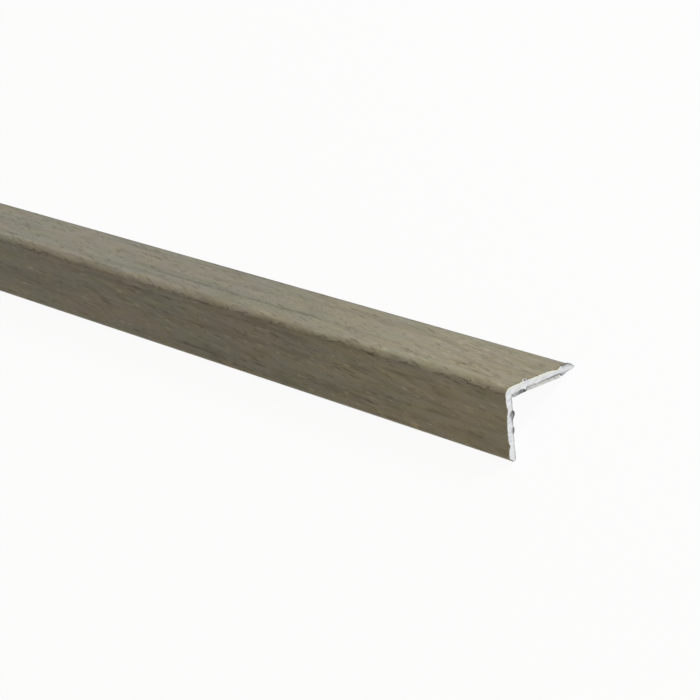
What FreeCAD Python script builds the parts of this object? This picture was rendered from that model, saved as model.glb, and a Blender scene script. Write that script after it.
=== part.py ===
"""Corner guard moulding: an unequal aluminium angle wrapped in a wood-print foil.

The metal is one extrusion. Its outer corner is rounded and the tips of both
legs are bevelled, with a soft bend where each bevel starts, so that the foil
can follow them without creasing. The wide leg is also relieved on the inside
of its tip, so that it thins out to a feather edge. The foil runs over the
corner and both outer faces and ends at the foot of each bevel, which leaves a
narrow bare lip of metal against the wall. A strip of foam tape with its
release liner runs along the inside of the wide leg. All four pieces are sawn
off together, square to the length.

Frame, in millimetres: X runs along the length and Z is up. The length lies as
it comes to rest on a floor, corner up, on the bare lips of its two legs. The
origin is on the floor, under the centre of the bounding box.
"""

import FreeCAD, Part
import math
import os

# Driving dimensions
length = 900.0
wide_leg = 24.5
narrow_leg = 20.0
metal_wall = 1.8
foil_thickness = 0.2
corner_radius = 2.2
inner_corner_radius = 0.4
wide_bevel_length = 2.5
wide_bevel_depth = 1.3
wide_relief_length = 2.8
narrow_bevel_length = 1.1
bevel_bend_radius = 0.8
tip_land = 0.4
tape_width = 12.0
tape_thickness = 0.8
liner_thickness = 0.1

# Sizes that follow from them
wall = metal_wall + foil_thickness
narrow_bevel_depth = wall - tip_land
wide_lip_depth = wide_bevel_depth + tip_land


class Leg:
    """One leg of the section. Its points lie along the leg from the outer corner, and into its wall."""

    def __init__(self, is_wide, reach, bevel_length, bevel_depth):
        self.is_wide = is_wide
        self.reach = reach
        self.bevel_depth = bevel_depth
        self.bevel_angle = math.atan2(bevel_depth, bevel_length)
        bend_tangent = bevel_bend_radius * math.tan(self.bevel_angle / 2)
        self.bend_start = reach - bevel_length - bend_tangent
        self.lip_end = reach - foil_thickness * math.sin(self.bevel_angle)

    def point(self, along, into):
        """The wide leg runs across the section, and the narrow leg down it."""
        across, down = (along, into) if self.is_wide else (into, along)
        return FreeCAD.Vector(-length / 2, across, -down)

    def line(self, start, end):
        return Part.LineSegment(self.point(*start), self.point(*end)).toShape()

    def arc(self, centre, radius, first, last):
        """A circular arc. Its angles turn from along the leg towards into the wall."""
        points = [
            self.point(centre[0] + radius * math.cos(angle), centre[1] + radius * math.sin(angle))
            for angle in (first, (first + last) / 2, last)
        ]
        return Part.Arc(*points).toShape()

    def bevel_foot(self, depth):
        """Where the foil is trimmed, square to the bevel, this deep in the wall."""
        along = self.reach - depth * math.sin(self.bevel_angle)
        into = self.bevel_depth + depth * math.cos(self.bevel_angle)
        return along, into

    def bevelled_tip(self, depth):
        """The bend and the bevel, this deep in the wall."""
        radius = bevel_bend_radius - depth
        bend_centre = (self.bend_start, bevel_bend_radius)
        bend_end = (
            bend_centre[0] + radius * math.sin(self.bevel_angle),
            bend_centre[1] - radius * math.cos(self.bevel_angle),
        )
        return [
            self.arc(bend_centre, radius, -math.pi / 2, self.bevel_angle - math.pi / 2),
            self.line(bend_end, self.bevel_foot(depth)),
        ]

    def outer_face(self, depth):
        """The flat from the rounded corner to the bend, this deep in the wall."""
        return self.line((corner_radius, depth), (self.bend_start, depth))


wide = Leg(True, wide_leg, wide_bevel_length, wide_bevel_depth)
narrow = Leg(False, narrow_leg, narrow_bevel_length, narrow_bevel_depth)
tape_start = (wall + wide.lip_end - tape_width) / 2


def inside_of_corner(centre, radius):
    """A quarter turn from the wide leg to the narrow one, about a point as far along as into the wall."""
    return wide.arc((centre, centre), radius, -math.pi / 2, -math.pi)


def outer_run(depth):
    """The run from the wide leg's tip over the corner to the narrow leg's tip, this deep in the wall."""
    return (
        wide.bevelled_tip(depth)
        + [wide.outer_face(depth), inside_of_corner(corner_radius, corner_radius - depth)]
        + [narrow.outer_face(depth)]
        + narrow.bevelled_tip(depth)
    )


def stock(edges):
    """The closed section, carried along the whole length."""
    section = Part.Face(Part.Wire(Part.__sortEdges__(edges)))
    return section.extrude(FreeCAD.Vector(length, 0, 0))


def aluminium_angle():
    """The extrusion: the outer run under the foil, a bare lip at each tip, and the inner faces."""
    fillet_start = wall + inner_corner_radius
    relief_start = wide_leg - wide_relief_length
    return stock(
        outer_run(foil_thickness)
        + [
            wide.line(wide.bevel_foot(foil_thickness), (wide.lip_end, wide_lip_depth)),
            wide.line((wide.lip_end, wide_lip_depth), (relief_start, wall)),
            wide.line((relief_start, wall), (fillet_start, wall)),
            inside_of_corner(fillet_start, inner_corner_radius),
            narrow.line((fillet_start, wall), (narrow.lip_end, wall)),
            narrow.line((narrow.lip_end, wall), narrow.bevel_foot(foil_thickness)),
        ]
    )


def decor_foil():
    """The printed film, one thickness deep, from the foot of one bevel to the other."""
    trimmed_edges = [
        leg.line(leg.bevel_foot(0), leg.bevel_foot(foil_thickness)) for leg in (wide, narrow)
    ]
    return stock(outer_run(0) + outer_run(foil_thickness) + trimmed_edges)


def strip(top, thickness):
    """A flat strip as wide as the tape, under the wide leg's inner face."""
    corner = wide.point(tape_start, top + thickness)
    return Part.makeBox(length, tape_width, thickness, corner)


def adhesive_tape():
    return strip(wall, tape_thickness)


def release_liner():
    return strip(wall + tape_thickness, liner_thickness)


def lay_on_floor(shapes):
    """Turns the section until both lips meet the floor, and centres it over the origin."""
    lean = math.degrees(math.atan2(narrow.lip_end - wide_lip_depth, wide.lip_end - wall))
    for shape in shapes:
        shape.rotate(FreeCAD.Vector(0, 0, 0), FreeCAD.Vector(1, 0, 0), -lean)
    box = Part.makeCompound(shapes).optimalBoundingBox(False)
    for shape in shapes:
        shape.translate(FreeCAD.Vector(0, -box.Center.y, -box.ZMin))


nodes = {
    "aluminium_angle": aluminium_angle(),
    "decor_foil": decor_foil(),
    "adhesive_tape": adhesive_tape(),
    "release_liner": release_liner(),
}
lay_on_floor(list(nodes.values()))

os.makedirs("parts", exist_ok=True)
for name, shape in nodes.items():
    shape.exportStep(f"parts/{name}.step")
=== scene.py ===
"""A length of corner guard moulding, dressed as the real one looks.

An unequal aluminium angle is wrapped in a foil with a greyed oak print, and carries foam tape
under its wide leg. It lies corner up on its two bare lips. Everything is in metres: X runs
along the length, and a place in the section is given as across the wide leg and down the
narrow leg, both from the sharp outer corner.
"""

import math

import bmesh
import bpy
import numpy as np
from mathutils import Matrix, Vector


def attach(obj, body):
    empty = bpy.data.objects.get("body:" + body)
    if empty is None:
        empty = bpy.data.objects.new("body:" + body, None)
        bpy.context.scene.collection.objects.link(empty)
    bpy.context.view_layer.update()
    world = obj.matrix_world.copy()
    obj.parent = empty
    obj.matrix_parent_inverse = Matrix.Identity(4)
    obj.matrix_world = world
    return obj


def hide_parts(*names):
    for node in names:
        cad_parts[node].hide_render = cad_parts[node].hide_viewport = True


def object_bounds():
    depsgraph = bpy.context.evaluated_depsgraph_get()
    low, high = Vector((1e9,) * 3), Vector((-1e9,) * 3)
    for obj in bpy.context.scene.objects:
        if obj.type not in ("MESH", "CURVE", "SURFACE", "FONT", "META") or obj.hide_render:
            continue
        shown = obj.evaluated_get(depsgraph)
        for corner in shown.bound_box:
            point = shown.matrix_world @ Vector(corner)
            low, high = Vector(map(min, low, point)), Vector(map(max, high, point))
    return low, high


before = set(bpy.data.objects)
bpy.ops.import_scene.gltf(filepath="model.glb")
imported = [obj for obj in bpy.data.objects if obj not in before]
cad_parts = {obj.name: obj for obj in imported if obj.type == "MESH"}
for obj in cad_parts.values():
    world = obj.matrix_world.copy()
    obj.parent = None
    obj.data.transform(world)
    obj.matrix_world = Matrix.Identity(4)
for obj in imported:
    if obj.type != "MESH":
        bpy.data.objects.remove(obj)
cad_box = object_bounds()


# The aluminium angle is one extrusion, rounded at the corner, bevelled at both tips and thinned
# out inside the wide one. A saw has cut it square, and has dragged a ragged burr over the cut.
wide_leg = 0.0245
narrow_leg = 0.0200
wall = 0.0020
foil_thickness = 0.0002
corner_radius = 0.0022
inner_corner_radius = 0.0004
wide_bevel_length = 0.0025
wide_bevel_depth = 0.0013
wide_relief_length = 0.0028
narrow_bevel_length = 0.0011
bevel_bend_radius = 0.0008
tip_land = 0.0004
narrow_bevel_depth = wall - tip_land
wide_lip_depth = wide_bevel_depth + tip_land
half_length = (cad_box[1][0] - cad_box[0][0]) / 2
# How finely the section is drawn.
bevel_points = 9
bend_points = 7
wide_flat_points = 78
narrow_flat_points = 66
corner_points = 15


def straight(start, end, count):
    """Evenly spaced points on the line from start to end."""
    share = np.linspace(0, 1, count)[:, None]
    return np.asarray(start) * (1 - share) + np.asarray(end) * share


def leg_run(depth, reach, bevel_length, bevel_depth, flat_points):
    """One leg's outside, this deep in its wall, from the foot of the bevel to the rounded corner.

    Points are (along the leg, into the wall): the straight bevel, then the bend, a circular arc
    about a centre under its inner end, then the flat.
    """
    angle = math.atan2(bevel_depth, bevel_length)
    bend_start = reach - bevel_length - bevel_bend_radius * math.tan(angle / 2)
    radius = bevel_bend_radius - depth
    turn = np.linspace(angle, 0, bend_points)
    bend = np.stack([bend_start + radius * np.sin(turn), bevel_bend_radius - radius * np.cos(turn)], -1)
    foot = (reach - depth * math.sin(angle), bevel_depth + depth * math.cos(angle))
    bevel = straight(foot, bend[0], bevel_points)
    flat = straight(bend[-1], (corner_radius, depth), flat_points)
    return np.concatenate([bevel, bend[1:], flat[1:]])


def quarter_turn(centre, radius):
    """The inside points of a quarter circle, from the wide leg round to the narrow one."""
    turn = np.linspace(0, math.pi / 2, corner_points)[1:-1, None]
    return centre - radius * np.concatenate([np.sin(turn), np.cos(turn)], -1)


def outer_run(depth):
    """The outside of the section, this deep in the wall, from the wide tip to the narrow tip."""
    wide = leg_run(depth, wide_leg, wide_bevel_length, wide_bevel_depth, wide_flat_points)
    narrow = leg_run(depth, narrow_leg, narrow_bevel_length, narrow_bevel_depth, narrow_flat_points)
    corner = quarter_turn(corner_radius, corner_radius - depth)
    return np.concatenate([wide, corner, narrow[::-1, ::-1]])


def inner_run(outside):
    """The inside of the angle, point for point behind its outside.

    Each leg's places are spread evenly from its lip to the fillet. The wide leg's inner face rises
    in a straight line from the start of the relief to the lip.
    """
    fillet_start = wall + inner_corner_radius
    wide = outside[outside[:, 0] >= corner_radius][:, 0]
    narrow = outside[outside[:, 1] >= corner_radius][:, 1]
    wide, narrow = (
        fillet_start + (leg - corner_radius) * (leg.max() - fillet_start) / (leg.max() - corner_radius)
        for leg in (wide, narrow)
    )
    relief_start = wide_leg - wide_relief_length
    rise = np.clip((wide - relief_start) / (wide.max() - relief_start), 0, 1) * (wall - wide_lip_depth)
    return np.concatenate([
        np.stack([wide, wall - rise], -1),
        quarter_turn(fillet_start, inner_corner_radius),
        np.stack([np.full_like(narrow, wall), narrow], -1),
    ])


metal_outside = outer_run(foil_thickness)
metal_inside = inner_run(metal_outside)
wide_lip_end = metal_inside[0, 0]
narrow_lip_end = metal_inside[-1, 1]
lean = math.atan2(narrow_lip_end - wide_lip_depth, wide_lip_end - wall)


def leaned(section):
    """The section turned by the lean, which brings both lips to one level."""
    across, down = section[..., 0], section[..., 1]
    return np.stack([
        across * math.cos(lean) - down * math.sin(lean),
        -across * math.sin(lean) - down * math.cos(lean),
    ], -1)


outline = leaned(np.concatenate([outer_run(0), metal_inside]))
resting_shift = np.array([-(outline[:, 0].min() + outline[:, 0].max()) / 2, -outline[:, 1].min()])


def laid(x, section):
    """Points at x along the length and at a place in the section, lying on the floor or above it."""
    lying = leaned(section) + resting_shift
    lying[..., 1] = np.maximum(lying[..., 1], 0)
    x = np.broadcast_to(x, lying.shape[:-1])
    return np.concatenate([x[..., None], lying], -1)


def uneven(place, spacing, seed):
    """Smooth chance values from -1 to 1: a random height at each even knot, joined by cosine steps.

    The row of heights begins again after its last knot.
    """
    knots = 997
    heights = np.random.default_rng(seed).uniform(-1, 1, knots)
    knot = np.floor(place / spacing).astype(int)
    step = (1 - np.cos(math.pi * (place / spacing - knot))) / 2
    return heights[knot % knots] * (1 - step) + heights[(knot + 1) % knots] * step


def bell(distance, reach):
    """A bell curve: 1 at no distance, and a bit over a third at the reach."""
    return np.exp(-(distance / reach) ** 2)


sharp_angle = math.radians(35)


def welded(name, sheets, maps=None, marks=None):
    """One closed mesh from several grids of points, each (rows, columns, 3).

    Four neighbours in a grid make a face. Points that share a place are merged, a face with two
    corners in one place becomes a triangle, and the faces are turned outwards. maps holds a grid
    of (u, v) for each sheet, and marks a grid of values, which every point keeps as its mark.
    """
    points = np.concatenate([sheet.reshape(-1, 3) for sheet in sheets])
    faces, start = [], 0
    for sheet in sheets:
        rows, columns = sheet.shape[:2]
        number = np.arange(rows * columns).reshape(rows, columns) + start
        corners = [number[:-1, :-1], number[1:, :-1], number[1:, 1:], number[:-1, 1:]]
        faces.append(np.stack(corners, -1).reshape(-1, 4))
        start += rows * columns
    faces = np.concatenate(faces)
    _, first, merged = np.unique(np.round(points, 8), axis=0, return_index=True, return_inverse=True)
    merged = merged.reshape(-1)
    distinct = merged[faces] != np.roll(merged[faces], -1, axis=1)
    whole = distinct.all(axis=1)
    quads, triangles = faces[whole], faces[~whole][distinct[~whole]].reshape(-1, 3)
    mesh = bpy.data.meshes.new(name)
    mesh.from_pydata(points[first].tolist(), [], merged[quads].tolist() + merged[triangles].tolist())
    if maps is not None:
        corner_numbers = np.concatenate([quads.reshape(-1), triangles.reshape(-1)])
        corner_uv = np.concatenate([grid.reshape(-1, 2) for grid in maps])[corner_numbers]
        mesh.uv_layers.new(name="run").data.foreach_set("uv", corner_uv.reshape(-1))
    if marks is not None:
        values = np.concatenate([grid.reshape(-1) for grid in marks])[first]
        mesh.attributes.new("mark", "FLOAT", "POINT").data.foreach_set("value", values)
    form = bmesh.new()
    form.from_mesh(mesh)
    bmesh.ops.recalc_face_normals(form, faces=form.faces)
    form.to_mesh(mesh)
    form.free()
    mesh.polygons.foreach_set("use_smooth", np.ones(len(mesh.polygons), bool))
    mesh.set_sharp_from_angle(angle=sharp_angle)
    piece = bpy.data.objects.new(name, mesh)
    bpy.context.scene.collection.objects.link(piece)
    return piece


def block_sheets(faces, sides, cuts):
    """The six sheets round a long block: its two faces, its two sides and its two sawn ends."""
    return [faces[:, 0], faces[:, 1], sides[0], sides[-1], cuts[:, :, 0], cuts[:, :, 1]]


def stations():
    """Places along the whole length: close together near the sawn ends, and about 10 mm apart between.

    The close ones are written as their distances from the end in mm.
    """
    close = np.array([0, 0.06, 0.12, 0.2, 0.3, 0.42, 0.56, 0.75, 1.0, 1.4, 2.0, 3.0, 5.0, 9.0]) / 1000
    middle_reach = half_length - 0.016
    middle = np.linspace(-middle_reach, middle_reach, 88)
    return np.concatenate([close - half_length, middle, half_length - close[::-1]])


# How far the burr stands out of the inner faces at the near sawn end, as (place, height) in mm.
# A place is counted from the corner, along the wide leg and, with a minus, down the narrow leg.
inner_burr = np.array([
    (-19.8, 0.14), (-18.4, 0.28), (-17.0, 0.24), (-16.0, 0.20), (-15.0, 0.06), (-13.7, 0.16),
    (-12.9, 0.0), (-12.5, 0.0), (-12.1, 0.26), (-11.2, 0.42), (-10.4, 0.14), (-9.5, -0.04),
    (-8.7, 0.04), (-8.1, 0.28), (-7.4, 0.74), (-6.5, 0.66), (-6.0, 0.10), (-3.5, 0.05),
    (-1.6, 0.15), (0.0, 0.90), (1.2, 1.30), (2.4, 1.25), (4.4, 1.05), (6.5, 0.96), (6.9, 0.70),
    (7.1, 0.0), (19.1, 0.0), (19.3, 0.72), (20.6, 0.42), (21.6, 0.05), (24.5, 0.0),
]) / 1000
# How much painted shade lies on the near cut's inner rim, as (place in mm, share): shade where the
# torn metal is folded away from the light, and a painted shadow along the tape's edge. The same for
# the outer rim, where less than nothing stands for glue that the saw has smeared over it.
inner_shade = np.array([
    (-20.0, 0.5), (-18.5, 0.65), (-16.5, 0.55), (-12.7, 0.6), (-11.9, 0.9), (-10.8, 0.85),
    (-10.2, 0.6), (-9.0, 0.85), (-8.2, 0.9), (-7.4, 1.0), (-6.4, 0.95), (-5.8, 0.65), (-3.0, 0.7),
    (-1.5, 0.60), (0.0, 0.50), (2.0, 0.46), (3.0, 0.52), (3.8, 0.62), (4.6, 0.72), (5.2, 0.62),
    (5.8, 0.78), (6.9, 0.86), (7.2, 0.50), (9.5, 0.52), (10.5, 0.50), (11.5, 0.7), (13.0, 0.88),
    (19.0, 0.85), (20.8, 0.62), (22.0, 0.58), (22.9, 0.3),
])
outer_shade_and_glue = np.array([
    (-3.0, 0.0), (0.0, -0.4), (3.0, -0.7), (6.1, -0.5), (6.5, 0.9), (7.2, 0.3), (7.7, 1.0),
    (8.1, -0.5), (12.0, -0.8), (18.0, -0.9), (19.2, -0.3), (19.7, 0.70), (22.9, 0.66),
])
# How far the near cut's outer rim stands over the foil, as (place, height) in mm. With a minus,
# the saw has pressed the rim in.
outer_burr = np.array([
    (-20.0, 0.0), (-17.2, 0.0), (-16.5, -0.10), (-15.4, -0.40), (-14.3, -0.04), (-13.4, 0.05),
    (-9.0, 0.09), (-7.2, 0.0), (-6.0, -0.24), (-4.9, 0.0), (-4.0, 0.10), (-1.0, 0.10),
    (2.0, 0.03), (5.5, 0.06), (7.0, 0.28), (8.5, 0.05), (12.0, 0.10), (15.2, 0.10),
    (16.8, -0.10), (18.1, -0.36), (19.0, -0.20), (19.8, 0.16), (21.0, 0.34), (22.3, 0.50),
    (22.9, 0.27),
]) / 1000
burr_reach = 0.0005
far_inner_burr = 0.0003
far_outer_burr = 0.0002
tape_cover = (0.0068, 0.0195)
place = metal_outside[:, 0] - metal_outside[:, 1]
metal_thickness = np.linalg.norm(metal_inside - metal_outside, axis=1)
lip_fade = np.clip(metal_thickness / (wall - foil_thickness), 0, 1) ** 2
saw_roughness = 0.00005
burr = {
    "inside near": np.interp(place, *inner_burr.T) + saw_roughness * uneven(place, 0.0005, 3),
    "outside near": np.interp(place, *outer_burr.T) + saw_roughness * uneven(place, 0.0004, 5),
    "inside far": far_inner_burr * lip_fade * np.clip(uneven(place, 0.0011, 7), -0.1, 1),
    "outside far": far_outer_burr * np.clip(uneven(place, 0.0009, 9), -0.1, 1),
}
under_tape = (place > tape_cover[0]) & (place < tape_cover[1])
burr["inside far"] = np.where(under_tape, 0, burr["inside far"])
inner_dark = np.interp(place, inner_shade[:, 0] / 1000, inner_shade[:, 1])
outer_rim_shade_and_glue = np.interp(place, outer_shade_and_glue[:, 0] / 1000, outer_shade_and_glue[:, 1])
# The blade leaves the cut a little short, ripples it on lines that slant to the legs, and rounds
# its rims.
cut_setback = 0.00006
ripple = 0.00003
ripple_slant = (0.5, 0.87)
rim_rounding = 0.00009
cut_reach = 0.001


def metal_at(through, x):
    """The metal at a share of its wall, from 0 outside to 1 inside, and at x along it.

    A place is on the straight line from the outside to the inside. Near an end the burr moves it
    outwards, with the fourth power of its share and a bell curve of its distance from the end. The
    blade's marks, smooth chance values on slanting lines, and its rounding press the end back.
    """
    through = np.asarray(through, float)[None, :, None]
    x = np.asarray(x, float)[None, None, :]
    near = bell(half_length - x, burr_reach)
    far = bell(half_length + x, burr_reach)
    inside = burr["inside near"][:, None, None] * near + burr["inside far"][:, None, None] * far
    outside = burr["outside near"][:, None, None] * near + burr["outside far"][:, None, None] * far
    moved = inside * through ** 4 - outside * (1 - through) ** 4
    share = through + moved / metal_thickness[:, None, None]
    through_wall = (metal_inside - metal_outside)[:, None, None]
    section = metal_outside[:, None, None] + through_wall * share[..., None]
    slanting = ripple_slant[0] * section[..., 0] + ripple_slant[1] * section[..., 1]
    rounding = rim_rounding * np.abs(2 * through - 1) ** 5
    pressed = cut_setback + ripple * uneven(slanting, 0.00035, 11) + ripple * uneven(slanting, 0.0013, 12)
    fade = bell(half_length - np.abs(x), cut_reach)
    return laid(x - np.sign(x) * fade * (pressed + rounding), section)


# The powers with which the painted shade and the glue of the rims fade into the wall: the lower,
# the further in they reach. The inner painted shade's power along the wide leg is given as
# (place in mm, power).
glue_power = 2.5
outer_shade_power = 7
tip_shade_power = 2.2
tip_shade_start = 0.0195
inner_shade_power = np.array([(7.1, 1.5), (9.8, 2.0), (11.2, 8), (13.5, 5), (17.0, 2.8)])
# Between the corner and the tape, where the metal is torn, the painted shade starts at a ragged
# line, as (place in mm, share of the wall), and turns dark past it within a tenth or two of the wall.
shade_line = np.array([(1.5, 0.80), (3.0, 0.74), (7.0, 0.75)])
torn_from, torn_to = 0.0005, 0.0071
shade_line_raggedness = 0.03
shade_line_softness = 0.16
# The lighter gaps in the painted shade, the second a painted glint: place and half width, share of
# the wall and half depth, strength.
shade_gaps = ((-0.0074, 0.0005, 0.80, 0.11, 0.3), (0.0065, 0.0003, 0.83, 0.06, 1.0))


def burr_shade_and_glue(through, x):
    """The near burr's painted shade, and with a minus its glue, at a share of the wall and at x along it.

    From each rim the painted shade is a power of the share of the wall. On the narrow leg's inside
    the power falls as the shade gets darker. Where the metal is torn it is a smooth step past the
    ragged line instead. The lighter gaps, one a painted glint, are bell curves along the leg and
    through the wall.
    """
    near = bell(half_length - np.asarray(x), 2 * burr_reach)
    through = np.asarray(through)[None, :]
    power = np.interp(place, inner_shade_power[:, 0] / 1000, inner_shade_power[:, 1])
    power = np.where(place < 0, 8 - 7.3 * inner_dark, power)[:, None]
    line = np.interp(place, shade_line[:, 0] / 1000, shade_line[:, 1])
    line = (line + shade_line_raggedness * uneven(place, 0.0007, 13))[:, None]
    past_line = np.clip((through - line) / shade_line_softness + 0.5, 0, 1)
    torn = (place > torn_from) & (place < torn_to)
    inner = np.where(torn[:, None], past_line ** 2 * (3 - 2 * past_line), through ** power)
    outer_power = np.where(place > tip_shade_start, tip_shade_power, outer_shade_power)
    outer_power = np.where(outer_rim_shade_and_glue < 0, glue_power, outer_power)[:, None]
    rims = inner_dark[:, None] * inner + outer_rim_shade_and_glue[:, None] * (1 - through) ** outer_power
    for middle, half_width, level, half_depth, strength in shade_gaps:
        along_leg = bell(place - middle, half_width)[:, None]
        rims = rims - strength * along_leg * bell(through - level, half_depth)
    return rims[:, :, None] * near[None, None, :]


along = stations()
ends = np.array([-half_length, half_length])
whole_wall = np.array([0, 0.06, 0.16, 0.3, 0.45, 0.58, 0.66, 0.71, 0.76, 0.81, 0.86, 0.91, 0.96, 1.0])
grids = (([0, 1], along), (whole_wall, along), (whole_wall, ends))
angle = welded(
    "sawn_aluminium_angle",
    block_sheets(*(metal_at(through, x) for through, x in grids)),
    # Each point keeps the burr's painted shade, and with a minus its glue, as its mark.
    marks=block_sheets(*(burr_shade_and_glue(through, x) for through, x in grids)),
)


def feed(tree, socket, value):
    """Links an output to an input, or gives the input a value."""
    if isinstance(value, bpy.types.NodeSocket):
        tree.links.new(value, socket)
    else:
        socket.default_value = value


def put(tree, kind, feeds=None, **settings):
    """Adds a node with its settings. feeds holds a value or an output for each input."""
    added = tree.nodes.new(kind)
    for name, value in settings.items():
        setattr(added, name, value)
    for name, value in (feeds or {}).items():
        feed(tree, added.inputs[name], value)
    return added


def calculate(tree, operation, first, second=0.5):
    """A sum on two values, each a number or an output."""
    return put(tree, "ShaderNodeMath", {0: first, 1: second}, operation=operation).outputs[0]


def calculate_vector(tree, operation, *vectors):
    """A sum on vectors, each a row of numbers or an output."""
    return put(tree, "ShaderNodeVectorMath", dict(enumerate(vectors)), operation=operation).outputs[0]


def between(tree, share, first, second):
    """The value that lies this share of the way from the first to the second."""
    return put(tree, "ShaderNodeMix", {"Factor": share, "A": first, "B": second}).outputs[0]


def ramp(tree, value, low, high, to_low=0.0, to_high=1.0):
    """A value's smooth step from to_low to to_high, as it goes from low to high."""
    feeds = {"Value": value, "From Min": low, "From Max": high, "To Min": to_low, "To Max": to_high}
    return put(tree, "ShaderNodeMapRange", feeds, interpolation_type="SMOOTHSTEP").outputs["Result"]


def blended(tree, share, first, second, blend_type="MIX"):
    """The colour that lies this share of the way from the first to their blend, by default the second."""
    mixed = put(tree, "ShaderNodeMix", data_type="RGBA", blend_type=blend_type)
    for name, value in (("Factor", share), ("A", first), ("B", second)):
        socket = [socket for socket in mixed.inputs if socket.name == name and socket.enabled][0]
        feed(tree, socket, value)
    return [socket for socket in mixed.outputs if socket.enabled][0]


def effect(name, inputs, outputs):
    """An empty node group with named inputs and outputs, each (name, socket kind, first value)."""
    group = bpy.data.node_groups.new(name, "ShaderNodeTree")
    for label, kind, value in inputs:
        socket = group.interface.new_socket(label, in_out="INPUT", socket_type=kind)
        if value is not None:
            socket.default_value = value
    for label, kind in outputs:
        group.interface.new_socket(label, in_out="OUTPUT", socket_type=kind)
    return group, group.nodes.new("NodeGroupInput").outputs, group.nodes.new("NodeGroupOutput").inputs


def placed(tree, group, feeds):
    """One use of an effect in a material or in another effect."""
    return put(tree, "ShaderNodeGroup", feeds, node_tree=group).outputs


# Long lines: noise drawn out along one axis, for die lines, saw marks and grain alike.
long_lines, given, result = effect(
    "long_lines",
    [
        ("Vector", "NodeSocketVector", None),
        ("Length", "NodeSocketFloat", 0.1),
        ("Width", "NodeSocketFloat", 0.001),
        ("Detail", "NodeSocketFloat", 2.0),
    ],
    [("Value", "NodeSocketFloat")],
)
size = {"X": given["Length"], "Y": given["Width"], "Z": given["Width"]}
size = put(long_lines, "ShaderNodeCombineXYZ", size).outputs[0]
drawn_out = calculate_vector(long_lines, "DIVIDE", given["Vector"], size)
noise = put(
    long_lines,
    "ShaderNodeTexNoise",
    {"Vector": drawn_out, "Scale": 1.0, "Detail": given["Detail"], "Roughness": 0.55},
)
feed(long_lines, result["Value"], noise.outputs["Fac"])


def lines_over(tree, vector, length, width, detail=2.0):
    """One use of the long lines: a value about 0.5 over this vector."""
    feeds = {"Vector": vector, "Length": length, "Width": width, "Detail": detail}
    return placed(tree, long_lines, feeds)["Value"]


# Flecks: one slim grain in each cell of a drawn-out Voronoi pattern, of chance size, or none.
flecks, given, result = effect(
    "flecks",
    [
        ("Vector", "NodeSocketVector", None),
        ("Length", "NodeSocketFloat", 0.005),
        ("Width", "NodeSocketFloat", 0.0006),
        ("Slant", "NodeSocketFloat", 0.0),
        ("Amount", "NodeSocketFloat", 0.5),
        ("Softness", "NodeSocketFloat", 0.6),
        ("Seed", "NodeSocketFloat", 0.0),
    ],
    [("Mask", "NodeSocketFloat"), ("Chance", "NodeSocketFloat")],
)
turned = put(
    flecks,
    "ShaderNodeVectorRotate",
    {"Vector": given["Vector"], "Angle": given["Slant"]},
    rotation_type="Z_AXIS",
).outputs[0]
size = {"X": given["Length"], "Y": given["Width"], "Z": 1.0}
size = put(flecks, "ShaderNodeCombineXYZ", size).outputs[0]
cells = calculate_vector(flecks, "DIVIDE", turned, size)
seeded = calculate_vector(flecks, "ADD", cells, given["Seed"])
wander = {"Vector": seeded, "Scale": 1.7, "Detail": 2.0}
wander = put(flecks, "ShaderNodeTexNoise", wander, noise_dimensions="2D").outputs["Color"]
centred = calculate_vector(flecks, "SUBTRACT", wander, (0.5, 0.5, 0.5))
bent = calculate_vector(flecks, "MULTIPLY_ADD", centred, (0.55, 0.55, 0.0), seeded)
grains = {"Vector": bent, "Scale": 1.0}
grains = put(flecks, "ShaderNodeTexVoronoi", grains, voronoi_dimensions="2D").outputs
chance = put(flecks, "ShaderNodeSeparateColor", {"Color": grains["Color"]}).outputs
present = calculate(flecks, "LESS_THAN", chance["Red"], given["Amount"])
radius = ramp(flecks, chance["Green"], 0.0, 1.0, 0.14, 0.44)
hardness = calculate(flecks, "SUBTRACT", 1.0, given["Softness"])
inner_radius = calculate(flecks, "MULTIPLY", radius, hardness)
shape = ramp(flecks, grains["Distance"], radius, inner_radius)
feed(flecks, result["Mask"], calculate(flecks, "MULTIPLY", shape, present))
feed(flecks, result["Chance"], chance["Blue"])


def finish_named(name):
    """A new material, with its tree and its Principled shader."""
    made = bpy.data.materials.new(name)
    made.use_nodes = True
    return made, made.node_tree, made.node_tree.nodes["Principled BSDF"]


def on_piece(tree):
    """The place on the piece itself: its Object coordinates, in metres."""
    return put(tree, "ShaderNodeTexCoord").outputs["Object"]


def relief(tree, shader, height, strength, distance):
    """Relief finer than the mesh: a height that tilts the shader's normal."""
    bump = put(tree, "ShaderNodeBump", {"Height": height, "Strength": strength, "Distance": distance})
    feed(tree, shader.inputs["Normal"], bump.outputs["Normal"])


# Its finish is mill aluminium: die lines along the length, and on the cuts the blade's marks and
# smears. The point attribute gives painted shade on the burr's rims and along the tape and, with a
# minus, the smeared glue.
dull_metal = (0.62, 0.64, 0.65, 1)
bright_metal = (0.89, 0.90, 0.91, 1)
line_colour = (0.78, 0.79, 0.80, 1)
glue_colour = (0.79, 0.79, 0.71, 1)
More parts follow.
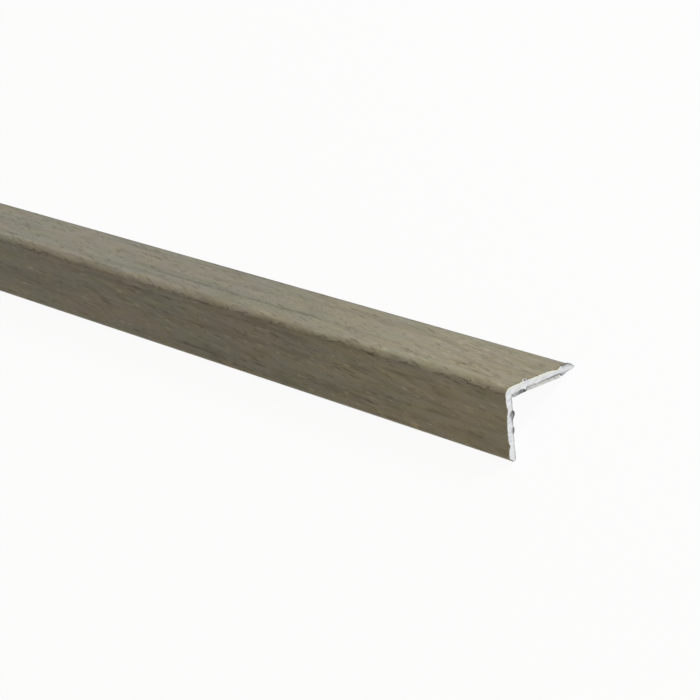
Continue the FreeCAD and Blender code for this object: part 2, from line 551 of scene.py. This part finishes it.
# The dark of the painted shade on the sawn burr.
painted_shade_colour = (0.058, 0.069, 0.062, 1)
blade_angle = math.radians(28)
aluminium, tree, shader = finish_named("mill aluminium")
where = on_piece(tree)
die_lines = lines_over(tree, where, 0.3, 0.00022, 3.0)
cut_place = put(tree, "ShaderNodeMapping", {"Vector": where, "Rotation": (blade_angle, 0, 0)})
swept = put(tree, "ShaderNodeSeparateXYZ", {"Vector": cut_place.outputs[0]}).outputs
blade_view = {"X": swept["Y"], "Y": swept["Z"], "Z": swept["X"]}
blade_view = put(tree, "ShaderNodeCombineXYZ", blade_view).outputs[0]
saw_marks = lines_over(tree, blade_view, 0.004, 0.00018, 3.0)
smears = lines_over(tree, blade_view, 0.003, 0.0009)
normal = put(tree, "ShaderNodeNewGeometry").outputs["Normal"]
facing = put(tree, "ShaderNodeSeparateXYZ", {"Vector": normal}).outputs
end_face = ramp(tree, calculate(tree, "ABSOLUTE", facing["X"]), 0.3, 0.6)
marks = between(tree, end_face, die_lines, saw_marks)
painted_shade_and_glue = put(tree, "ShaderNodeAttribute", attribute_name="mark").outputs["Fac"]
uneven_painted_shade = calculate(tree, "ADD", painted_shade_and_glue, calculate(tree, "MULTIPLY", smears, 0.5))
drawn_tone = lines_over(tree, where, 0.06, 0.0025)
tone = between(tree, end_face, drawn_tone, smears)
metal_colour = blended(tree, ramp(tree, tone, 0.36, 0.62), dull_metal, bright_metal)
metal_colour = blended(tree, ramp(tree, marks, 0.3, 0.7), metal_colour, line_colour)
metal_colour = blended(tree, ramp(tree, painted_shade_and_glue, -0.05, -0.45), metal_colour, glue_colour)
# Painted shade on the burr, made uneven by the smears.
metal_colour = blended(tree, ramp(tree, uneven_painted_shade, 0.40, 1.15), metal_colour, painted_shade_colour)
feed(tree, shader.inputs["Base Color"], metal_colour)
feed(tree, shader.inputs["Roughness"], ramp(tree, marks, 0.2, 0.8, 0.30, 0.52))
shader.inputs["Metallic"].default_value = 1.0
relief(tree, shader, marks, 0.5, 0.00002)
angle.data.materials.append(aluminium)
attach(angle, "root")
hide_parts("aluminium_angle")


# A curl of swarf still hangs on the near cut's upper edge: a thread of aluminium that the saw's
# teeth drew out of the rim, which stands up in a small loop and comes back down to it.
curl_foot = 0.0062
curl_span = 0.0017
curl_height = 0.00029
curl_width = 0.00024
curl_thickness = 0.00008
curl_lean = 0.00035
curl_sunk = 0.00008
# The curl takes a little of the burr's painted shade.
curl_shade = 0.3
loop_points = 33
rim_points = 13


def curl_at(turn, round_thread):
    """A thread along half an ellipse that stands on the rim and leans back over the foil.

    Its own section is a flat ellipse, which smooth chance values make thicker and thinner. Both
    ends are sunk in the rim.
    """
    size = 1 + 0.25 * uneven(turn, 0.45, 21) + 0 * round_thread
    out = curl_thickness / 2 * size * np.sin(round_thread)
    across = curl_foot + curl_span / 2 * (1 - np.cos(turn)) - out * np.cos(turn)
    height = curl_height * np.sin(turn) * (1 + 0.2 * np.cos(turn))
    up = -curl_sunk + height + out * np.sin(turn)
    back = curl_width / 2 * size * np.cos(round_thread)
    x = half_length - curl_width - curl_lean * np.sin(turn) + back
    return laid(x, np.stack([across, -up], -1))


thread = curl_at(
    np.linspace(0, math.pi, loop_points)[:, None],
    np.linspace(0, 2 * math.pi, rim_points)[None, :],
)
foot_middles = thread[[0, -1], :-1].mean(axis=1, keepdims=True)
curl_sheets = [thread] + [
    np.stack([thread[end], np.repeat(foot_middles[end], rim_points, axis=0)]) for end in (0, -1)
]
curl_marks = [np.full(sheet.shape[:2], curl_shade) for sheet in curl_sheets]
curl = welded("swarf_curl", curl_sheets, marks=curl_marks)
curl.data.materials.append(aluminium)
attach(curl, "root")


# The decor foil is a printed plastic film, glued over the corner and both outer faces and trimmed
# at the foot of each bevel. The saw has chipped its edge, so that a thread of metal shows.
glue_line = 0.00001
foil_outside = outer_run(0)
foil_underside = outer_run(foil_thickness - glue_line)
step_lengths = np.linalg.norm(np.diff(foil_outside, axis=0), axis=1)
run = np.concatenate([[0], np.cumsum(step_lengths)])
foil_place = foil_outside[:, 0] - foil_outside[:, 1]
# How far the foil's cut edge stands back from the near end, as (place, setback) in mm.
chipped = np.array([
    (-20.0, 0.22), (-18.0, 0.30), (-16.4, 0.20), (-15.4, 0.0), (-14.4, 0.22), (-12.0, 0.42),
    (-8.4, 0.36), (-7.2, 0.10), (-6.0, 0.0), (-5.0, 0.22), (-4.0, 0.44), (-1.5, 0.46),
    (1.0, 0.32), (3.5, 0.18), (5.8, 0.22), (7.0, 0.50), (8.4, 0.20), (11.0, 0.12),
    (14.0, 0.20), (16.6, 0.08), (18.4, 0.0), (19.8, 0.50), (21.6, 0.85), (23.2, 1.05),
]) / 1000
fine_chips = 0.00006
far_chips = 0.00012
far_setback = 0.00018
chip_reach = 0.0015
near_edge = np.interp(foil_place, *chipped.T) + fine_chips * uneven(foil_place, 0.00042, 31)
far_edge = far_setback + far_chips * uneven(foil_place, 0.0014, 33)
far_edge = far_edge + fine_chips * uneven(foil_place, 0.0004, 34)
pressed_in = np.interp(foil_place, *outer_burr.T).clip(None, 0)
into_wall = (metal_inside - metal_outside) / metal_thickness[:, None]


def foil_at(section, x):
    """One side of the foil. Near an end its x is drawn back by the chips, along a bell curve.

    Where the saw has pressed the metal's rim in, the foil goes down with it, along another.
    """
    x = np.asarray(x, float)[None, :]
    near = bell(half_length - x, burr_reach)
    section = section[:, None] - (pressed_in[:, None] * near)[..., None] * into_wall[:, None]
    setback = np.where(x > 0, near_edge[:, None], far_edge[:, None]).clip(0, None)
    fade = bell(half_length - np.abs(x), chip_reach)
    return laid(x - np.sign(x) * setback * fade, section)


def on_print(side):
    """The place on the print: x along the length, and the run round the section from the wide tip."""
    return np.stack([side[..., 0], np.broadcast_to(run[:, None], side.shape[:-1])], -1)


def film_sheets(upper, lower):
    """The six sheets round a film: its two sides, and a strip along each of its four edges."""
    return [
        upper,
        lower,
        np.stack([upper[0], lower[0]]),
        np.stack([upper[-1], lower[-1]]),
        np.stack([upper[:, 0], lower[:, 0]], 1),
        np.stack([upper[:, -1], lower[:, -1]], 1),
    ]


printed = foil_at(foil_outside, along)
glued = foil_at(foil_underside, along)
foil = welded(
    "oak_print_foil",
    film_sheets(printed, glued),
    maps=film_sheets(on_print(printed), on_print(glued)),
)

# Figure lines: long soft lines of the print, each laid along the length at its own height.
figure_line, given, result = effect(
    "figure_line",
    [
        ("Vector", "NodeSocketVector", None),
        ("Start", "NodeSocketFloat", 0.0),
        ("End", "NodeSocketFloat", 0.1),
        ("Height", "NodeSocketFloat", 0.01),
        ("Half width", "NodeSocketFloat", 0.0005),
        ("Fade", "NodeSocketFloat", 0.005),
    ],
    [("Mask", "NodeSocketFloat")],
)
on_line = put(figure_line, "ShaderNodeSeparateXYZ", {"Vector": given["Vector"]}).outputs
bends = calculate(figure_line, "SUBTRACT", lines_over(figure_line, given["Vector"], 0.013, 0.004), 0.5)
swing = calculate(figure_line, "MULTIPLY", bends, 0.0018)
level = calculate(figure_line, "ADD", given["Height"], swing)
off_line = calculate(figure_line, "ABSOLUTE", calculate(figure_line, "SUBTRACT", on_line["Y"], level))
across_line = ramp(figure_line, off_line, given["Half width"], 0.0)
inner_start = calculate(figure_line, "ADD", given["Start"], given["Fade"])
inner_end = calculate(figure_line, "SUBTRACT", given["End"], given["Fade"])
from_start = ramp(figure_line, on_line["X"], given["Start"], inner_start)
to_end = ramp(figure_line, on_line["X"], given["End"], inner_end)
breaks = lines_over(figure_line, given["Vector"], 0.006, 0.0008)
broken = ramp(figure_line, breaks, 0.36, 0.60, 0.35, 1.0)
along_line = calculate(figure_line, "MULTIPLY", from_start, to_end)
whole_line = calculate(figure_line, "MULTIPLY", across_line, along_line)
feed(figure_line, result["Mask"], calculate(figure_line, "MULTIPLY", whole_line, broken))


def tinted(tree, share, ground, tint):
    """The ground multiplied by a tint, as far as a share."""
    return blended(tree, share, ground, tint, "MULTIPLY")


oak, tree, shader = finish_named("greyed oak print")
spot = put(tree, "ShaderNodeUVMap", uv_map="run").outputs["UV"]
spot_parts = put(tree, "ShaderNodeSeparateXYZ", {"Vector": spot}).outputs

# The ground: warm oak near this end and greyer further along, with a tint that drifts over a few
# centimetres and soft bands and blotches that lie along the length. The narrow leg's face is calm
# near this end.
grey_oak = (0.219, 0.2055, 0.1425, 1)
warm_oak = (0.289, 0.264, 0.178, 1)
near_share = ramp(tree, spot_parts["X"], half_length - 0.13, half_length - 0.01)
ground = blended(tree, near_share, grey_oak, warm_oak)
tint_drifts = (
    # length, width, first tint, second tint
    (0.030, 0.0070, (0.958, 1.0, 1.0, 1), (1.042, 1.0, 1.0, 1)),
    (0.011, 0.0035, (1.0, 1.0, 0.935, 1), (1.0, 1.0, 1.065, 1)),
)
for length, width, first_tint, second_tint in tint_drifts:
    drift = ramp(tree, lines_over(tree, spot, length, width), 0.36, 0.64)
    ground = tinted(tree, 1.0, ground, blended(tree, drift, first_tint, second_tint))
on_narrow = ramp(tree, spot_parts["Y"], 0.0240, 0.0262)
on_wide = calculate(tree, "SUBTRACT", 1.0, on_narrow)
# The narrow leg's face is painted a touch lighter and warmer, painted light that lifts its shade.
ground = tinted(tree, on_narrow, ground, (1.03, 1.01, 1.005, 1))
plain_end = ramp(tree, spot_parts["X"], half_length - 0.034, half_length - 0.004, 0.0, 0.35)
calm = calculate(tree, "SUBTRACT", 1.0, calculate(tree, "MULTIPLY", on_narrow, plain_end))
slanted = {"Vector": spot, "Angle": math.radians(-8)}
slanted = put(tree, "ShaderNodeVectorRotate", slanted, rotation_type="Z_AXIS").outputs[0]
tones = (
    # laid along, length, width, detail, from, to, share, colour
    (spot, 0.070, 0.0024, 3.0, 0.52, 0.32, 0.55, (0.66, 0.64, 0.60, 1)),
    (slanted, 0.018, 0.0026, 2.0, 0.50, 0.34, 0.50, (0.70, 0.69, 0.66, 1)),
    (slanted, 0.015, 0.0020, 2.0, 0.54, 0.72, 0.50, (1.32, 1.31, 1.27, 1)),
    (slanted, 0.007, 0.00045, 3.0, 0.48, 0.30, 0.28, (0.68, 0.66, 0.62, 1)),
    (slanted, 0.007, 0.00045, 3.0, 0.52, 0.72, 0.28, (1.30, 1.30, 1.28, 1)),
)
for laid_along, length, width, detail, low, high, share, colour in tones:
    tone = ramp(tree, lines_over(tree, laid_along, length, width, detail), low, high, 0.0, share)
    ground = tinted(tree, calculate(tree, "MULTIPLY", tone, calm), ground, colour)

# The pores and rays: dark and light grains a few millimetres long. They slant to the length, more
# on the wide leg's face than on the narrow one's, and are fainter further along.
faint_wide = ramp(tree, spot_parts["X"], half_length - 0.100, half_length - 0.050, 0.75, 1.0)
faint_narrow = ramp(tree, spot_parts["X"], half_length - 0.140, half_length - 0.090, 0.85, 1.0)
wide_grains = calculate(tree, "MULTIPLY", on_wide, faint_wide)
narrow_grains = calculate(tree, "MULTIPLY", on_narrow, calculate(tree, "MULTIPLY", faint_narrow, calm))
pore_sets = (
    # length, width, slant in degrees, most, softness, seed, share on wide, on narrow, colour
    (0.0080, 0.00085, -15, 0.38, 0.70, 1.0, 0.76, 0.80, (0.50, 0.47, 0.42, 1)),
    (0.0042, 0.00055, -19, 0.38, 0.60, 4.3, 0.72, 0.68, (0.52, 0.49, 0.44, 1)),
    (0.0046, 0.00090, -12, 0.30, 0.65, 8.1, 0.45, 0.64, (1.76, 1.77, 1.76, 1)),
    (0.0070, 0.00200, -10, 0.24, 0.85, 21.3, 0.20, 0.60, (1.60, 1.57, 1.50, 1)),
    (0.0150, 0.00300, -8, 0.34, 0.95, 12.7, 0.60, 0.72, (0.66, 0.64, 0.59, 1)),
    (0.0018, 0.00024, -12, 0.45, 0.60, 17.9, 0.40, 0.42, (0.52, 0.50, 0.46, 1)),
)
pores = 0.0
for length, width, slant, most_grains, softness, seed, wide_share, narrow_share, colour in pore_sets:
    cluster_spot = calculate_vector(tree, "ADD", spot, (seed, seed, 0))
    clusters = lines_over(tree, cluster_spot, 0.026, 0.006, 1.0)
    amount = ramp(tree, clusters, 0.34, 0.62, 0.25 * most_grains, 1.35 * most_grains)
    faces = ((wide_grains, 1.0, wide_share), (narrow_grains, 0.45, narrow_share))
    for on_face, slant_share, most in faces:
        grain = placed(tree, flecks, {
            "Vector": spot,
            "Length": length,
            "Width": width,
            "Slant": math.radians(slant * slant_share),
            "Amount": amount,
            "Softness": softness,
            "Seed": seed,
        })
        tone = ramp(tree, grain["Chance"], 0.0, 1.0, 0.3 * most, most)
        share = calculate(tree, "MULTIPLY", calculate(tree, "MULTIPLY", grain["Mask"], tone), on_face)
        ground = tinted(tree, share, ground, colour)
        if colour[0] < 0.65:
            pores = calculate(tree, "ADD", pores, share)

# The lines that stand out in the print, as (nearest, furthest, run, half width in mm, share): how
# far from the near end they lie, and how far round the section from the wide tip.
dark_figure = (
    (58, 172, 17.6, 0.9, 0.85),
    (80, 99, 17.4, 1.9, 0.55),
    (42, 62, 18.0, 0.7, 0.55),
    (16, 30, 18.6, 0.9, 0.40),
    (88, 140, 7.0, 1.0, 0.35),
    (112, 142, 40.2, 0.8, 0.95),
    (17, 31, 36.2, 1.0, 0.75),
    (28, 47, 28.6, 0.8, 0.55),
    (64, 96, 29.6, 1.2, 0.55),
    (8, 15, 39.0, 1.0, 0.75),
    (27, 36, 39.6, 0.7, 0.55),
    (100, 132, 33.0, 1.0, 0.45),
    (-5, 420, 27.2, 1.0, 0.22),
    (200, 420, 12.0, 1.2, 0.6),
    (300, 640, 33.0, 1.3, 0.6),
    (520, 830, 17.0, 1.4, 0.6),
)
pale_figure = (
    (24, 90, 23.9, 1.6, 0.9),
    (72, 176, 24.0, 1.7, 1.0),
    (98, 150, 28.0, 2.2, 0.9),
    (180, 460, 23.4, 1.5, 0.7),
)
figures = (((0.54, 0.51, 0.46, 1), dark_figure), ((1.23, 1.23, 1.26, 1), pale_figure))
for colour, figure in figures:
    for nearest, furthest, height, half_width, strength in figure:
        line = placed(tree, figure_line, {
            "Vector": spot,
            "Start": half_length - furthest / 1000,
            "End": half_length - nearest / 1000,
            "Height": height / 1000,
            "Half width": half_width / 1000,
            "Fade": (furthest - nearest) / 4000,
        })
        ground = tinted(tree, calculate(tree, "MULTIPLY", line["Mask"], strength), ground, colour)

# Over the corner the film is painted paler up to a ragged line, a painted highlight, and darker
# behind that, a painted shade, most in short dashes: a painted edge between the lit face and the
# shaded one. At the bend of the wide tip it is tinted blue-grey, a painted reflection of the sky.
ragged_line = ramp(tree, lines_over(tree, spot, 0.0035, 0.0020, 3.0), 0.32, 0.68, 0.0244, 0.0256)
line_end = calculate(tree, "ADD", ragged_line, 0.0002)
highlight_start = ramp(tree, spot_parts["Y"], 0.0208, 0.0244)
before_line = ramp(tree, spot_parts["Y"], line_end, ragged_line)
shade_end = ramp(tree, spot_parts["Y"], 0.0268, 0.0258)
behind_line = calculate(tree, "MULTIPLY", calculate(tree, "SUBTRACT", 1.0, before_line), shade_end)
ridge_highlight = calculate(tree, "MULTIPLY", highlight_start, before_line)
ground = tinted(tree, ridge_highlight, ground, (1.13, 1.13, 1.17, 1))
ground = tinted(tree, behind_line, ground, (0.89, 0.88, 0.89, 1))
dashes = ramp(tree, lines_over(tree, spot, 0.006, 0.003), 0.46, 0.60)
dash_end = calculate(tree, "ADD", ragged_line, 0.0012)
dash_band = calculate(tree, "SUBTRACT", ramp(tree, spot_parts["Y"], dash_end, line_end), before_line)
ground = tinted(tree, calculate(tree, "MULTIPLY", dashes, dash_band), ground, (0.65, 0.63, 0.61, 1))
# A painted reflection: the film at the wide tip's bend is tinted blue-grey.
at_bend = ramp(tree, spot_parts["Y"], 0.0040, 0.0028)
ground = tinted(tree, at_bend, ground, (0.82, 0.87, 1.02, 1))

# The film is satin, and its pores are pressed in and duller.
feed(tree, shader.inputs["Base Color"], ground)
feed(tree, shader.inputs["Roughness"], ramp(tree, pores, 0.0, 0.6, 0.42, 0.60))
shader.inputs["Specular IOR Level"].default_value = 0.2
relief(tree, shader, pores, 0.4, -0.00003)
foil.data.materials.append(oak)
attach(foil, "root")
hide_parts("decor_foil")


# The foam tape is a strip of fine closed-cell foam, sticky on both sides, pressed onto the inside
# of the wide leg. Its slit sides bulge a little, and the saw has pulled at its cells.
tape_width = 0.0120
tape_thickness = 0.0008
liner_thickness = 0.0001
tape_start = (wall + wide_lip_end - tape_width) / 2
slit_draw = 0.0001
saw_pull = 0.00015
coarse_pull = 0.0001
fine_pull = 0.00006
pull_reach = 0.0012
tape_rows = np.linspace(0, 1, 97)
tape_levels = np.linspace(0, 1, 9)


def tape_at(across_share, down_share, x):
    """The tape at shares of its width and thickness: a straight block whose slit sides draw in.

    The sides draw in by a parabola of the level, with smooth chance values along the length. Near
    an end the foam is pulled back unevenly, least where glue holds it above and below.
    """
    across_share, down_share, x = np.broadcast_arrays(
        np.asarray(across_share, float)[:, None, None],
        np.asarray(down_share, float)[None, :, None],
        np.asarray(x, float)[None, None, :],
    )
    draw = slit_draw * (1 - (2 * down_share - 1) ** 2) * (1 + 0.6 * uneven(x, 0.004, 41))
    across = tape_start + tape_width * across_share + draw * (1 - 2 * across_share)
    down = wall + tape_thickness * down_share
    pulled = saw_pull + coarse_pull * uneven(across, 0.0007, 43)
    pulled = pulled + fine_pull * uneven(across + down, 0.00024, 44)
    fade = bell(half_length - np.abs(x), pull_reach)
    drawn_back = pulled * (0.5 + 2 * down_share * (1 - down_share))
    return laid(x - np.sign(x) * fade * drawn_back, np.stack([across, down], -1))


tape = welded("foam_tape_strip", block_sheets(
    tape_at(tape_rows, [0, 1], along),
    tape_at([0, 1], tape_levels, along),
    tape_at(tape_rows, tape_levels, ends),
))

cell_size = 0.00022
cell_middle_colour = (0.58, 0.61, 0.60, 1)
cell_wall_colour = (0.76, 0.79, 0.78, 1)
pale_foam_colour = (0.84, 0.87, 0.86, 1)
foam, tree, shader = finish_named("closed-cell foam")
where = on_piece(tree)
bubbles = put(tree, "ShaderNodeTexVoronoi", {"Vector": where, "Scale": 1 / cell_size})
clusters = lines_over(tree, where, 0.002, 0.0008)
cell_wall = ramp(tree, bubbles.outputs["Distance"], 0.15, 0.55)
foam_colour = blended(tree, cell_wall, cell_middle_colour, cell_wall_colour)
foam_colour = blended(tree, ramp(tree, clusters, 0.35, 0.7, 0.0, 0.5), foam_colour, pale_foam_colour)
feed(tree, shader.inputs["Base Color"], foam_colour)
shader.inputs["Roughness"].default_value = 0.85
shader.inputs["Specular IOR Level"].default_value = 0.2
relief(tree, shader, cell_wall, 0.6, 0.00006)
tape.data.materials.append(foam)
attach(tape, "root")
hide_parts("adhesive_tape")


# The release liner is a slick plastic film over the tape's free side, slit with it and peeled off
# when the moulding is fitted. It has come up a hair in places, in faint waves across its width.
wave_height = 0.00002
film_setback = 0.00006
film_reach = 0.001
liner_rows = np.linspace(0, 1, 61)


def liner_at(level, x):
    """One side of the film, from level 0 at the tape to level 1 at its free side.

    It is flat, with waves of smooth chance values that grow towards both of its long edges, with
    the fourth power of the distance from its middle.
    """
    x = np.asarray(x, float)[None, :]
    across = tape_start + tape_width * liner_rows[:, None] + 0 * x
    from_middle = 2 * liner_rows[:, None] - 1
    wave = wave_height * (1 + uneven(x + 0.3 * across, 0.007, 51)) * from_middle ** 4
    down = wall + tape_thickness + liner_thickness * level - wave * level
    fade = bell(half_length - np.abs(x), film_reach)
    drawn_back = film_setback * (1 + uneven(across, 0.0009, 53)) * fade
    return laid(x - np.sign(x) * drawn_back, np.stack([across, down], -1))


liner = welded("release_liner_film", film_sheets(liner_at(0.05, along), liner_at(1.0, along)))

hazy_colour = (0.70, 0.72, 0.72, 1)
clear_colour = (0.78, 0.79, 0.79, 1)
scuff_colour = (0.60, 0.62, 0.62, 1)
film, tree, shader = finish_named("slick liner film")
where = on_piece(tree)
scuffs = {"Vector": where, "Length": 0.02, "Width": 0.0009, "Amount": 0.25, "Softness": 0.9}
scuffs = placed(tree, flecks, scuffs)["Mask"]
haze = lines_over(tree, where, 0.05, 0.004)
film_colour = blended(tree, ramp(tree, haze, 0.3, 0.7), hazy_colour, clear_colour)
film_colour = blended(tree, calculate(tree, "MULTIPLY", scuffs, 0.35), film_colour, scuff_colour)
feed(tree, shader.inputs["Base Color"], film_colour)
feed(tree, shader.inputs["Roughness"], ramp(tree, scuffs, 0.0, 1.0, 0.28, 0.5))
relief(tree, shader, haze, 0.3, 0.0001)
liner.data.materials.append(film)
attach(liner, "root")
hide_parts("release_liner")


# The setting: a wide pale floor that shows as white and keeps a faint shadow, and a soft lamp
# square above the wide leg, so that the narrow leg's face lies in its own shade.
def seen_directly(tree):
    """1 for what the camera sees itself, in a mirror or through glass."""
    path = put(tree, "ShaderNodeLightPath").outputs
    seen = calculate(tree, "MAXIMUM", path["Is Camera Ray"], path["Is Glossy Ray"])
    return calculate(tree, "MAXIMUM", seen, path["Is Transmission Ray"])


floor_reach = 4.0
floor_glow = 0.93
floor_mesh = bpy.data.meshes.new("floor")
floor_corners = [(x * floor_reach, y * floor_reach, 0) for x, y in ((-1, -1), (1, -1), (1, 1), (-1, 1))]
floor_mesh.from_pydata(floor_corners, [], [(0, 1, 2, 3)])
floor = bpy.data.objects.new("floor", floor_mesh)
bpy.context.scene.collection.objects.link(floor)
pale, tree, shader = finish_named("pale floor")
shader.inputs["Base Color"].default_value = (0.90, 0.90, 0.90, 1)
shader.inputs["Roughness"].default_value = 0.9
shader.inputs["Specular IOR Level"].default_value = 0.0
glow = put(tree, "ShaderNodeEmission", {"Color": (1, 1, 1, 1), "Strength": 1.0})
glow_share = calculate(tree, "MULTIPLY", seen_directly(tree), floor_glow)
from_above = {"Fac": glow_share, 1: shader.outputs[0], 2: glow.outputs[0]}
from_above = put(tree, "ShaderNodeMixShader", from_above).outputs[0]
# From below the floor is clear, so that the tape and its liner can be looked at.
from_below = put(tree, "ShaderNodeNewGeometry").outputs["Backfacing"]
clear = put(tree, "ShaderNodeBsdfTransparent").outputs[0]
one_way = put(tree, "ShaderNodeMixShader", {"Fac": from_below, 1: from_above, 2: clear})
feed(tree, tree.nodes["Material Output"].inputs["Surface"], one_way.outputs[0])
floor_mesh.materials.append(pale)

world = bpy.data.worlds.new("studio")
bpy.context.scene.world = world
world.use_nodes = True
tree = world.node_tree
ambient = tree.nodes["Background"]
ambient.inputs["Color"].default_value = (1.0, 0.93, 0.86, 1)
ambient.inputs["Strength"].default_value = 0.415
backdrop = put(tree, "ShaderNodeBackground", {"Color": (1, 1, 1, 1), "Strength": 1.0})
sky = {"Fac": seen_directly(tree), 1: ambient.outputs[0], 2: backdrop.outputs[0]}
sky = put(tree, "ShaderNodeMixShader", sky).outputs[0]
feed(tree, tree.nodes["World Output"].inputs["Surface"], sky)

lamp_aim = Vector((half_length - 0.08, 0, 0.01))
lamp_tilt = math.radians(12)
lamp_direction = Vector((0.45, math.sin(lean + lamp_tilt), math.cos(lean + lamp_tilt))).normalized()
lamp_distance = 1.6
key = bpy.data.lights.new("key", "AREA")
key.size = 0.36
key.energy = 12.95
key_lamp = bpy.data.objects.new("key", key)
bpy.context.scene.collection.objects.link(key_lamp)
key_lamp.matrix_world = (
    Matrix.Translation(lamp_aim + lamp_direction * lamp_distance)
    @ lamp_direction.to_track_quat("Z", "Y").to_matrix().to_4x4()
)

# The camera looks down on the near end from the narrow leg's side, and is rolled until the wide
# leg looks level, as if the moulding were already stuck over its corner.
heading = math.radians(159.8588)
elevation = math.radians(39.7340)
roll = math.radians(43.1448)
camera_aim = Vector((half_length - 0.05642, -0.00528, 0.01595))
camera_distance = 0.600
view = Vector((
    math.cos(elevation) * math.cos(heading),
    math.cos(elevation) * math.sin(heading),
    -math.sin(elevation),
))
level_right = view.cross(Vector((0, 0, 1))).normalized()
level_up = level_right.cross(view)
right = level_right * math.cos(roll) - level_up * math.sin(roll)
up = level_up * math.cos(roll) + level_right * math.sin(roll)
camera = bpy.data.cameras.new("camera")
camera.lens = 117.756
camera.sensor_width = 36.0
camera.clip_start = 0.01
camera_object = bpy.data.objects.new("camera", camera)
bpy.context.scene.collection.objects.link(camera_object)
camera_object.matrix_world = (
    Matrix.Translation(camera_aim - view * camera_distance)
    @ Matrix((right, up, -view)).transposed().to_4x4()
)
bpy.context.scene.camera = camera_object
bpy.context.scene.view_settings.view_transform = "Standard"
